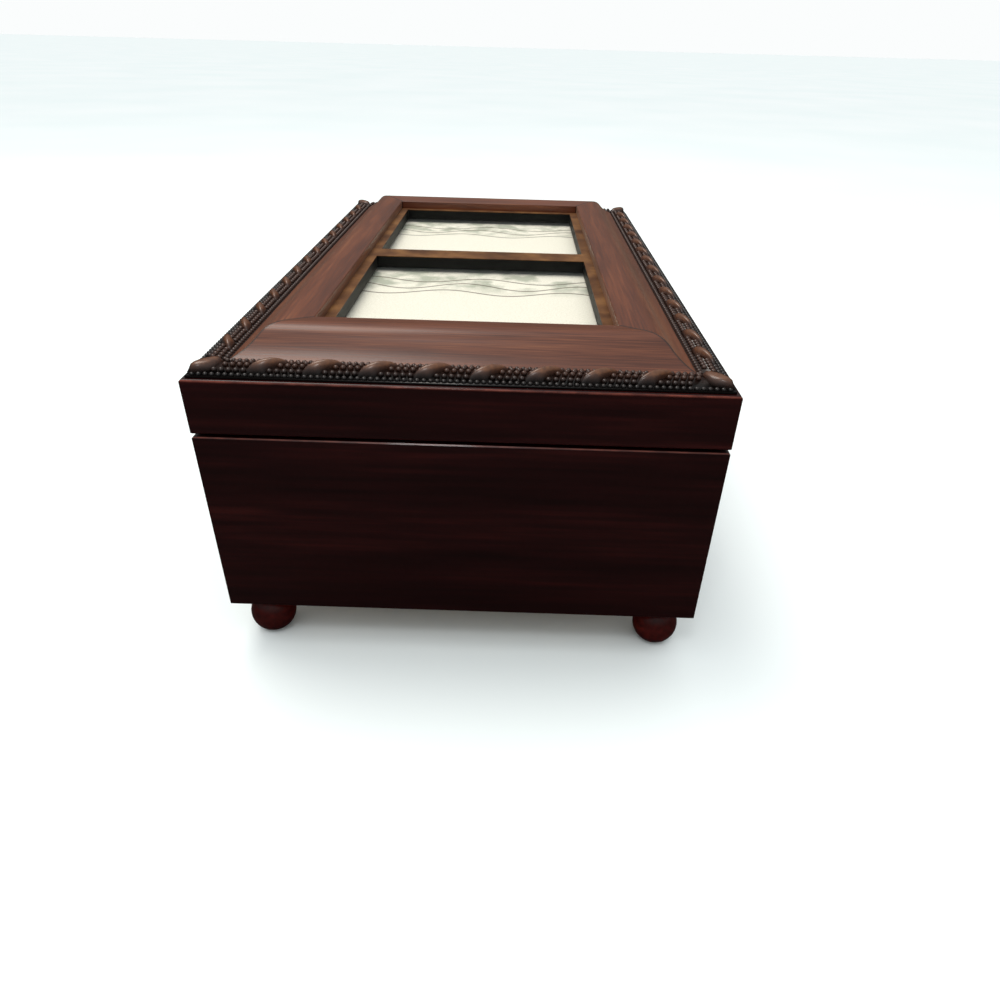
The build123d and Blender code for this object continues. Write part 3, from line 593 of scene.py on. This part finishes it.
@dataclass
class RibbonTrim:
    """Ribbon-and-bead trim of one side: leaning ribbons, pearls between them, two bead lines.

    Insets are measured inwards from the side's outer face, and rises up from the ledge that the
    trim lies on, all in millimetres. outer and inner are the insets between which it swells.
    """

    side: Side
    material: bpy.types.Material
    outer: float = 3.1
    inner: float = 8.8
    outer_rise: float = 0.7
    inner_rise: float = 1.9
    bed_swell: float = 0.9
    ribbon_swell: float = 2.2
    ribbon_width: float = 5.8
    ribbon_round: float = 1.1
    ribbon_sink: float = 0.5
    mitre_margin: float = 1.5
    lean: float = 6.0
    outer_edge: float = 1.4
    inner_edge: float = 10.5
    pearl: float = 0.85
    pearl_pitch: float = 2.0
    pearl_rows: float = 0.68
    pearl_lift: float = 0.15
    bead: float = 0.8
    bead_pitch: float = 1.8
    bead_lift: float = 0.1
    leaf_inset: float = 6.0
    leaf_length: float = 5.2
    leaf_width: float = 3.0
    leaf_foot: float = 0.4
    leaf_edge: float = 1.2
    leaf_hump: float = 2.3

    @property
    def repeats(self) -> int:
        """Number of ribbons that the solid trim has on this side."""
        return 16 if self.side.long else 10

    def base(self, inset: float) -> float:
        """Height of the straight line between the two bead seats."""
        share = (inset - self.outer) / (self.inner - self.outer)
        return SIZES.ledge + self.outer_rise + share * (self.inner_rise - self.outer_rise)

    def swelling(self, inset: float, swell: float) -> float:
        """Height of a band that swells between the bead seats."""
        across = 2 * (inset - self.outer) / (self.inner - self.outer) - 1
        return self.base(inset) + swell * max(0.0, 1 - across * across)

    def sway(self, inward: float) -> float:
        """Shift of the S curve along the side, from the outer edge at -1 to the inner at 1."""
        return self.lean / 2 * (1.5 * inward - 0.5 * inward ** 3)

    def inside(self, along: float, inset: float, margin: float) -> bool:
        """Whether a place is clear of both mitres by a margin."""
        return abs(along) < SIZES.run(self.side) / 2 - inset - margin

    def bed(self, mesh: bmesh.types.BMesh) -> None:
        """Mitred bed with its two bead seats, as a closed section swept from mitre to mitre."""
        half = SIZES.run(self.side) / 2
        foot, steps = SIZES.ledge, 10
        width = self.inner - self.outer
        insets = [self.outer + width * step / steps for step in range(steps + 1)]
        section = [(self.outer_edge, foot), (self.outer_edge, foot + self.outer_rise)]
        section += [(inset, self.swelling(inset, self.bed_swell)) for inset in insets]
        section += [(self.inner_edge, foot + self.inner_rise), (self.inner_edge, foot)]
        border = [mesh.verts.new((-half + inset, inset, height)) for inset, height in section]
        face = mesh.faces.new(border)
        swept = bmesh.ops.extrude_face_region(mesh, geom=[face], use_keep_orig=True)
        for vert in (item for item in swept["geom"] if isinstance(item, bmesh.types.BMVert)):
            vert.co.x = half - vert.co.y

    def ribbon(self, mesh: bmesh.types.BMesh, middle: float) -> None:
        """One S-curved ribbon, rounded over, whose foot sinks into the bed."""
        half_width, reach = self.ribbon_width / 2, (self.inner - self.outer) / 2
        part = pillow(8)
        for vert in part.verts:
            across, inward, level = vert.co
            inset = self.outer + reach * (1 + 0.99 * inward)
            hump = max(0.0, 1 - abs(across) ** 2.4) ** 0.55
            end = max(0.0, 1 - inward ** 6) ** 0.5
            bed = self.swelling(inset, self.bed_swell)
            foot = bed - self.ribbon_sink
            rise = self.ribbon_round + (self.ribbon_swell - self.bed_swell) * (1 - inward ** 2)
            crown = bed + end * hump * rise - 0.1
            width = half_width * (0.94 + 0.06 * math.cos(math.pi * inward / 2))
            along = middle + self.sway(inward) + across * width
            vert.co = (along, inset, foot + (crown - foot) * (level + 1) / 2)
        join(mesh, part)

    def pearls(self, mesh: bmesh.types.BMesh, middle: float) -> None:
        """Patch of round pearls between two ribbons, in rows that lean with them."""
        reach = (self.inner - self.outer) / 2
        part = bmesh.new()
        for row in (-self.pearl_rows, 0.0, self.pearl_rows):
            inset = self.outer + reach * (1 + row)
            level = self.swelling(inset, self.bed_swell) + self.pearl_lift
            for column in range(-2, 3):
                along = middle + self.sway(row) + column * self.pearl_pitch
                if self.inside(along, inset, self.pearl):
                    self.ball(part, along, inset, level, self.pearl)
        join(mesh, part)

    def ball(self, mesh: bmesh.types.BMesh, along: float, inset: float, height: float,
             radius: float) -> None:
        """One small round bead."""
        bmesh.ops.create_uvsphere(mesh, u_segments=8, v_segments=6, radius=radius,
                                  matrix=Matrix.Translation((along, inset, height)))

    def bead_line(self, mesh: bmesh.types.BMesh, inset: float, height: float) -> None:
        """Row of beads from mitre to mitre at one inset."""
        reach = SIZES.run(self.side) / 2 - inset
        count = round(2 * reach / self.bead_pitch)
        for start in range(0, count, 12):
            part = bmesh.new()
            for index in range(start, min(start + 12, count)):
                along = -reach + 2 * reach * (index + 0.5) / count
                self.ball(part, along, inset, height, self.bead)
            join(mesh, part)

    def leaf(self, mesh: bmesh.types.BMesh, end: int) -> None:
        """Smooth pointed leaf that covers a mitre; the long sides carry all four."""
        centre = Vector((end * (SIZES.half_length - self.leaf_inset), self.leaf_inset))
        out = Vector((end, -1.0)).normalized()
        side = Vector((out.y, -out.x))
        part = pillow(7)
        for vert in part.verts:
            along, across, level = vert.co
            width = self.leaf_width * (1 - 0.85 * abs(along) ** 1.8)
            flat = centre + out * (along * self.leaf_length) + side * (across * width)
            hump = max(0.0, 1 - across * across) ** 0.5 * max(0.0, 1 - along ** 4) ** 0.5
            rise = (self.leaf_edge + self.leaf_hump * hump) * (level + 1) / 2
            vert.co = (flat.x, flat.y, SIZES.ledge + self.leaf_foot + rise)
        join(mesh, part)

    def build(self) -> None:
        """Make the strip and let it stand for the solid one."""
        mesh = bmesh.new()
        self.bed(mesh)
        pitch = SIZES.run(self.side) / self.repeats
        for index in range(self.repeats):
            middle = (index - (self.repeats - 1) / 2) * pitch
            if self.inside(middle, self.inner, self.ribbon_width / 2 + self.mitre_margin):
                self.ribbon(mesh, middle)
            self.pearls(mesh, middle + pitch / 2)
        seats = ((self.outer_edge, self.outer, self.outer_rise),
                 (self.inner_edge, self.inner, self.inner_rise))
        for edge, swell_start, rise in seats:
            self.bead_line(mesh, (edge + swell_start) / 2, SIZES.ledge + rise + self.bead_lift)
        if self.side.long:
            self.leaf(mesh, -1)
            self.leaf(mesh, 1)
        bmesh.ops.recalc_face_normals(mesh, faces=mesh.faces)
        bmesh.ops.transform(mesh, matrix=SIZES.placing(self.side), verts=mesh.verts)
        name = f"ribbon_trim_{self.side.word}"
        keep(mesh, name, self.material, "lid", (f"trim_{self.side.word}",))


@dataclass
class RingPad:
    """Padded velvet insert of parallel rolls, sewn down between them.

    valley is the height of the seams over the pad's foot, sag how far the crowns stay under the
    solid's top, and ripple half the unevenness along a roll, in millimetres.
    """

    material: bpy.types.Material
    rolls: int = 4
    valley: float = 9.6
    sag: float = 0.7
    ripple: float = 0.35

    def build(self) -> None:
        low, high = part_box("ring_pad")
        size, centre = high - low, (low + high) / 2
        pitch = size.y / self.rolls
        wobble = random.Random(7)
        phases = [wobble.uniform(0, 6.28) for _ in range(self.rolls * 2)]
        valley = self.valley * MM
        mesh = bmesh.new()
        for roll in range(self.rolls):
            part = pillow(23)
            for vert in part.verts:
                along, across, level = vert.co
                end = max(0.0, 1 - abs(along) ** 14) ** 0.5
                crown = max(0.0, 1 - abs(across) ** 2.3) ** 0.5
                ripples = math.sin(9 * along + phases[roll])
                ripples += math.sin(21 * along + phases[roll + self.rolls])
                top = valley + (size.z - valley - self.sag * MM) * crown
                top = top * (0.86 + 0.14 * end) + self.ripple * MM * ripples * crown * end
                x = centre.x + along * size.x / 2 * (0.985 + 0.012 * crown)
                y = low.y + pitch * (roll + 0.5) + across * pitch / 2 * 0.998
                vert.co = (x, y, low.z + 0.02 * MM + top * (level + 1) / 2)
            join(mesh, part)
        bmesh.ops.recalc_face_normals(mesh, faces=mesh.faces)
        piece = keep(mesh, "velvet_ring_pad", self.material, "case", ("ring_pad",))


@dataclass
class Screws:
    """Slotted screw heads that hold hinges, comb and bracket, with their shanks.

    Heads are given as radius and height. Places on the movement count from the winding arbor.
    """

    brass: bpy.types.Material
    steel: bpy.types.Material
    slot_half: float = 0.22
    hinge_middles: tuple[float, float] = (-79.0, 79.0)
    hinge_screw_shift: float = 8.0
    hinge_screw_y: float = 71.7
    hinge_head: tuple[float, float] = (1.5, 0.38)
    seam: float = 1.0
    movement_shift: float = 5.0
    comb_place: tuple[float, float] = (23.5, -16.75)
    comb_lift: float = 0.62
    comb_head: tuple[float, float] = (1.6, 0.9)
    bracket_place: tuple[float, float] = (27.45, 14.75)
    bracket_lift: float = 1.02
    bracket_head: tuple[float, float] = (1.5, 0.8)

    def head(self, mesh: bmesh.types.BMesh, place: tuple[float, float, float], radius: float,
             height: float, up: int, turn: float) -> None:
        """One slotted head with its shank.

        Args:
            mesh: Mesh that gets the screw.
            place: Middle of the head's seat, in millimetres.
            radius: Radius of the head.
            height: Height of the head above its seat.
            up: 1 where the head faces up and -1 where it faces down.
            turn: Direction of the slot, in radians.
        """
        facing = Matrix.Scale(up, 4, (0, 0, 1)) @ Matrix.Rotation(turn, 4, "Z")
        seat = Matrix.Translation(Vector(place) * MM) @ facing
        made = []
        for half in (-1, 1):
            disc = bmesh.ops.create_circle(
                mesh, cap_ends=True, radius=radius * MM, segments=20)["verts"]
            face = list({f for v in disc for f in v.link_faces})
            geom = disc + face + list({e for v in disc for e in v.link_edges})
            slot_side = (0, half * self.slot_half * MM, 0)
            cut = bmesh.ops.bisect_plane(mesh, geom=geom, plane_co=slot_side,
                                         plane_no=(0, -half, 0), clear_outer=True)
            faces = [g for g in cut["geom"] if isinstance(g, bmesh.types.BMFace) and g.is_valid]
            lifted = bmesh.ops.extrude_face_region(mesh, geom=faces, use_keep_orig=True)["geom"]
            top = [g for g in lifted if isinstance(g, bmesh.types.BMVert)]
            bmesh.ops.translate(mesh, vec=(0, 0, height * MM), verts=top)
            made += top + list({v for f in faces if f.is_valid for v in f.verts})
        shank = bmesh.ops.create_cone(mesh, cap_ends=True, segments=12, radius1=radius * 0.5 * MM,
                                      radius2=radius * 0.9 * MM, depth=1.2 * height * MM)["verts"]
        bmesh.ops.translate(mesh, vec=(0, 0, -0.25 * height * MM), verts=shank)
        bmesh.ops.transform(mesh, matrix=seat, verts=list(set(made) | set(shank)))

    def build(self) -> None:
        """Make the screws of both hinges, the comb and the bracket."""
        mesh = bmesh.new()
        lid = bmesh.new()
        turns = random.Random(3)
        for middle in self.hinge_middles:
            for shift in (-self.hinge_screw_shift, self.hinge_screw_shift):
                for target, gap, up in ((mesh, 0.0, 1), (lid, self.seam, -1)):
                    place = (middle + shift, self.hinge_screw_y, SIZES.rim + gap)
                    self.head(target, place, *self.hinge_head, up, turns.uniform(0, 3.1))
        hinge_screws = ((mesh, "hinge_screws_case", "case"), (lid, "hinge_screws_lid", "lid"))
        for target, name, body in hinge_screws:
            bmesh.ops.recalc_face_normals(target, faces=target.faces)
            keep(target, name, self.brass, body, smooth=False)
        steel = bmesh.new()
        sets = ((self.comb_place, SIZES.cylinder_z + self.comb_lift, self.comb_head),
                (self.bracket_place, SIZES.bed_top + self.bracket_lift, self.bracket_head))
        for shift in (-self.movement_shift, self.movement_shift):
            for (x, y), level, size in sets:
                place = (SIZES.winding_x + x + shift, SIZES.winding_y + y, level)
                self.head(steel, place, *size, 1, turns.uniform(0, 3.1))
        bmesh.ops.recalc_face_normals(steel, faces=steel.faces)
        keep(steel, "movement_screws", self.steel, "case", smooth=False)


@dataclass
class MelodyPins:
    """The many small pins that stand out of the drum and pluck the comb."""

    material: bpy.types.Material
    tracks: int = 18
    drum_start: float = 15.0
    drum_end: float = 32.0
    drum_radius: float = 6.6
    pin_height: float = 0.8
    pin_radius: float = 0.2
    pin_sunk: float = 0.1
    notes: int = 11

    def build(self) -> None:
        """Make the pins at seeded places round the drum."""
        mesh = bmesh.new()
        tune = random.Random(12)
        pitch = (self.drum_end - self.drum_start) / self.tracks
        out = self.drum_radius + self.pin_height / 2 - self.pin_sunk
        length = self.pin_height + self.pin_sunk
        for track in range(self.tracks):
            part = bmesh.new()
            for note in range(self.notes):
                angle = 2 * math.pi * (note + tune.uniform(0.1, 0.9)) / self.notes
                along = SIZES.winding_x + self.drum_start + (track + 0.5) * pitch
                axis = Vector((along, SIZES.winding_y, SIZES.cylinder_z)) * MM
                placing = Matrix.Translation(axis) @ Matrix.Rotation(angle, 4, "X")
                placing = placing @ Matrix.Translation((0, 0, out * MM))
                bmesh.ops.create_cone(part, cap_ends=True, segments=6, depth=length * MM,
                                      radius1=self.pin_radius * MM, radius2=self.pin_radius * MM,
                                      matrix=placing)
            join(mesh, part)
        bmesh.ops.recalc_face_normals(mesh, faces=mesh.faces)
        keep(mesh, "melody_pins", self.material, "cylinder", smooth=False)


@dataclass
class Studio:
    """Camera of the photograph, pale floor, white tent brightest overhead, soft key light.

    Places are in metres in the row frame. Mirror-like surfaces see a darker floor and tent than the
    camera does, so the lacquer stays as dark as it does in the photograph's strong contrast.
    """

    location: tuple[float, float, float] = (-0.3008, -0.01306, 0.1748)
    forward: tuple[float, float, float] = (0.84184, 0.00689, -0.5397)
    roll: float = math.radians(1.545)
    lens: float = 25.57
    floor_half: float = 60.0

    def camera(self) -> None:
        """Make the camera and set it as the scene's."""
        ahead = Vector(self.forward).normalized()
        right = ahead.cross(Vector((0, 0, 1))).normalized()
        up = right.cross(ahead)
        turned = math.cos(self.roll) * right + math.sin(self.roll) * up
        above = -math.sin(self.roll) * right + math.cos(self.roll) * up
        data = bpy.data.cameras.new("photograph_view")
        data.lens = self.lens
        data.sensor_width = 36.0
        data.clip_start = 0.01
        camera = bpy.data.objects.new("photograph_view", data)
        turn = Matrix((turned, above, -ahead)).transposed().to_4x4()
        camera.matrix_world = Matrix.Translation(self.location) @ turn
        bpy.context.scene.collection.objects.link(camera)
        bpy.context.scene.camera = camera

    def lamp(self, name: str, place: tuple[float, float, float], size: float, power: float,
             colour: str) -> None:
        """Square soft light that faces the box.

        Args:
            name: Name of the light.
            place: Where it hangs, in metres.
            size: Length of its side.
            power: Its power in watts.
            colour: Its hex colour.
        """
        data = bpy.data.lights.new(name, "AREA")
        data.size = size
        data.energy = power
        data.color = linear(colour)[:3]
        light = bpy.data.objects.new(name, data)
        light.location = place
        toward_box = Vector((0, 0, 0.06)) - Vector(place)
        light.rotation_euler = toward_box.to_track_quat("-Z", "Y").to_euler()
        bpy.context.scene.collection.objects.link(light)

    def floor(self) -> None:
        """Make the floor of pale paper."""
        mesh = bmesh.new()
        bmesh.ops.create_grid(mesh, x_segments=1, y_segments=1, size=self.floor_half)
        data = bpy.data.meshes.new("studio_floor")
        mesh.to_mesh(data)
        mesh.free()
        finish = Finish("pale_paper")
        material, tree, shader, coords = finish.start(Roughness=0.8, Specular_IOR_Level=0.1)
        tone = noise(tree, coords, (400.0, 400.0, 400.0), 2.0)
        paper = ramp(tree, tone, [(0.3, "#eff7f7"), (0.7, "#f5fafa")])
        reflected = add(tree, "ShaderNodeLightPath").outputs["Is Glossy Ray"]
        paper = blend_colour(tree, reflected, paper, linear("#343636"))
        tree.links.new(paper, shader.inputs["Base Color"])
        data.materials.append(material)
        piece = bpy.data.objects.new("studio_floor", data)
        bpy.context.scene.collection.objects.link(piece)

    def tent(self) -> None:
        """Make the world: white to the camera, and light that grows from the horizon upwards."""
        world = bpy.data.worlds.new("studio_air")
        world.use_nodes = True
        bpy.context.scene.world = world
        air = world.node_tree
        path = add(air, "ShaderNodeLightPath")
        upward = add(air, "ShaderNodeTexCoord").outputs["Generated"]
        rise = add(air, "ShaderNodeSeparateXYZ", {0: upward}).outputs["Z"]
        glow = spread(air, rise, 0.1, 0.8, 0.06, 1.4)
        reflected = spread(air, path.outputs["Is Glossy Ray"], 0.0, 1.0, 1.0, 0.45)
        unseen = compute(air, "MULTIPLY", glow, reflected)
        strength = compute(air, "MAXIMUM", path.outputs["Is Camera Ray"], unseen)
        sky = air.nodes["Background"]
        sky.inputs["Color"].default_value = linear("#fbfdfd")
        air.links.new(strength, sky.inputs["Strength"])

    def build(self) -> None:
        """Make the floor, the tent, the lights and the camera."""
        bpy.context.scene.view_settings.view_transform = "Standard"
        self.floor()
        self.tent()
        self.lamp("key_above", (0.15, 0.35, 1.1), 0.5, 5.0, "#fffaf2")
        self.lamp("spark_front", (-0.55, 0.1, 0.8), 0.12, 0.8, "#ffffff")
        self.camera()


@dataclass
class CarriedPieces:
    """The solids that are shown as they are, each in its own finish."""

    finishes: dict[str, bpy.types.Material]

    def paint(self, node: str, finish: str) -> None:
        """Give one solid its finish."""
        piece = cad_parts[node]
        if not piece.material_slots:
            piece.data.materials.append(None)
        for slot in piece.material_slots:
            slot.material = self.finishes[finish]

    def build(self) -> None:
        """Dress every solid."""
        for side in Side:
            grain = "x" if side.long else "y"
            self.paint(f"case_{side.word}", f"lacquer_{grain}")
            self.paint(f"lid_rail_{side.word}", f"lacquer_{grain}")
            self.paint(f"moulding_{side.word}", f"walnut_{grain}")
            self.paint(f"trim_{side.word}", "trim")
        groups = {
            "foot_lacquer_painted_gleam": ("ball_feet",),
            "plain_wood": ("case_base", "backing_board", "cover_ledge", "stop_block"),
            "liner": ("window_frame",),
            "glass": ("glass_pane", "movement_cover"),
            "card": ("picture_card",),
            "velvet": ("floor_lining", "wall_lining", "cross_divider", "music_divider",
                       "ring_divider", "ring_pad"),
            "felt": ("lid_bumpers",),
            "brass": ("hinge_case_leaf_left", "hinge_case_leaf_right", "hinge_lid_leaf_left",
                      "hinge_lid_leaf_right", "hinge_pin_left", "hinge_pin_right", "button_screws",
                      "turn_button_front", "turn_button_back"),
            "zinc": ("bedplate",),
            "nickel": ("winding_key", "spring_housing", "mounting_screws", "governor_bracket",
                       "stop_plunger", "plunger_guide"),
            "spring_steel": ("comb", "mainspring"),
            "movement_brass": ("pinned_cylinder", "main_gear", "governor_wheel", "governor_fan"),
        }
        for finish, nodes in groups.items():
            for node in nodes:
                self.paint(node, finish)
            log.info("%s on %d solids", finish, len(nodes))


def main() -> None:
    """Build the dressed jewelry box and its studio."""
    logging.basicConfig(level=logging.INFO, format="%(name)s %(message)s")
    Studio().build()
    finishes = {
        "lacquer_x": Lacquer("mahogany_lacquer_x", Grain.ALONG_X).build(),
        "lacquer_y": Lacquer("mahogany_lacquer_y", Grain.ALONG_Y).build(),
        # The feet's lacquer is a lighter, redder copy of the case's: a painted reflection standing
        # in for the red gleam on the feet.
        "foot_lacquer_painted_gleam": Lacquer(
            "mahogany_lacquer_feet", Grain.ALONG_X, (), ("#240302", "#3c0805", "#541209")).build(),
        "walnut_x": Walnut("waxed_walnut_x", Grain.ALONG_X).build(),
        "walnut_y": Walnut("waxed_walnut_y", Grain.ALONG_Y).build(),
        "trim": AntiquedTrim("antiqued_ornament").build(),
        "liner": PaintedLiner("painted_liner").build(),
        "glass": PictureGlass("float_glass").build(),
        "card": PictureCard("uncoated_card").build(),
        "velvet": Velvet("cut_pile_velvet").build(),
        "felt": Velvet("pressed_felt", "#0d0a0a", "#241d1d").build(),
        "plain_wood": PlainWood("bare_plywood").build(),
        "brass": Metal("lacquered_brass", roughness=0.28).build(),
        "movement_brass": Metal(
            "polished_brass", "#a07c3c", "#e0bd74", 0.2, (4.0, 0.25, 4.0)).build(),
        "zinc": Metal("die_cast_zinc", "#77777a", "#a5a5a4", 0.45, (0.8, 0.8, 0.8), 0.04).build(),
        "nickel": Metal("nickel_plated_steel", "#98948c", "#c9c5bc", 0.2).build(),
        "spring_steel": Metal(
            "ground_spring_steel", "#5d6066", "#8d9198", 0.3, (0.15, 6.0, 6.0)).build(),
    }
    CarriedPieces(finishes).build()
    for side in Side:
        RibbonTrim(side, finishes["trim"]).build()
    RingPad(finishes["velvet"]).build()
    Screws(finishes["brass"], finishes["nickel"]).build()
    MelodyPins(finishes["spring_steel"]).build()


if __name__ == "__main__":
    main()
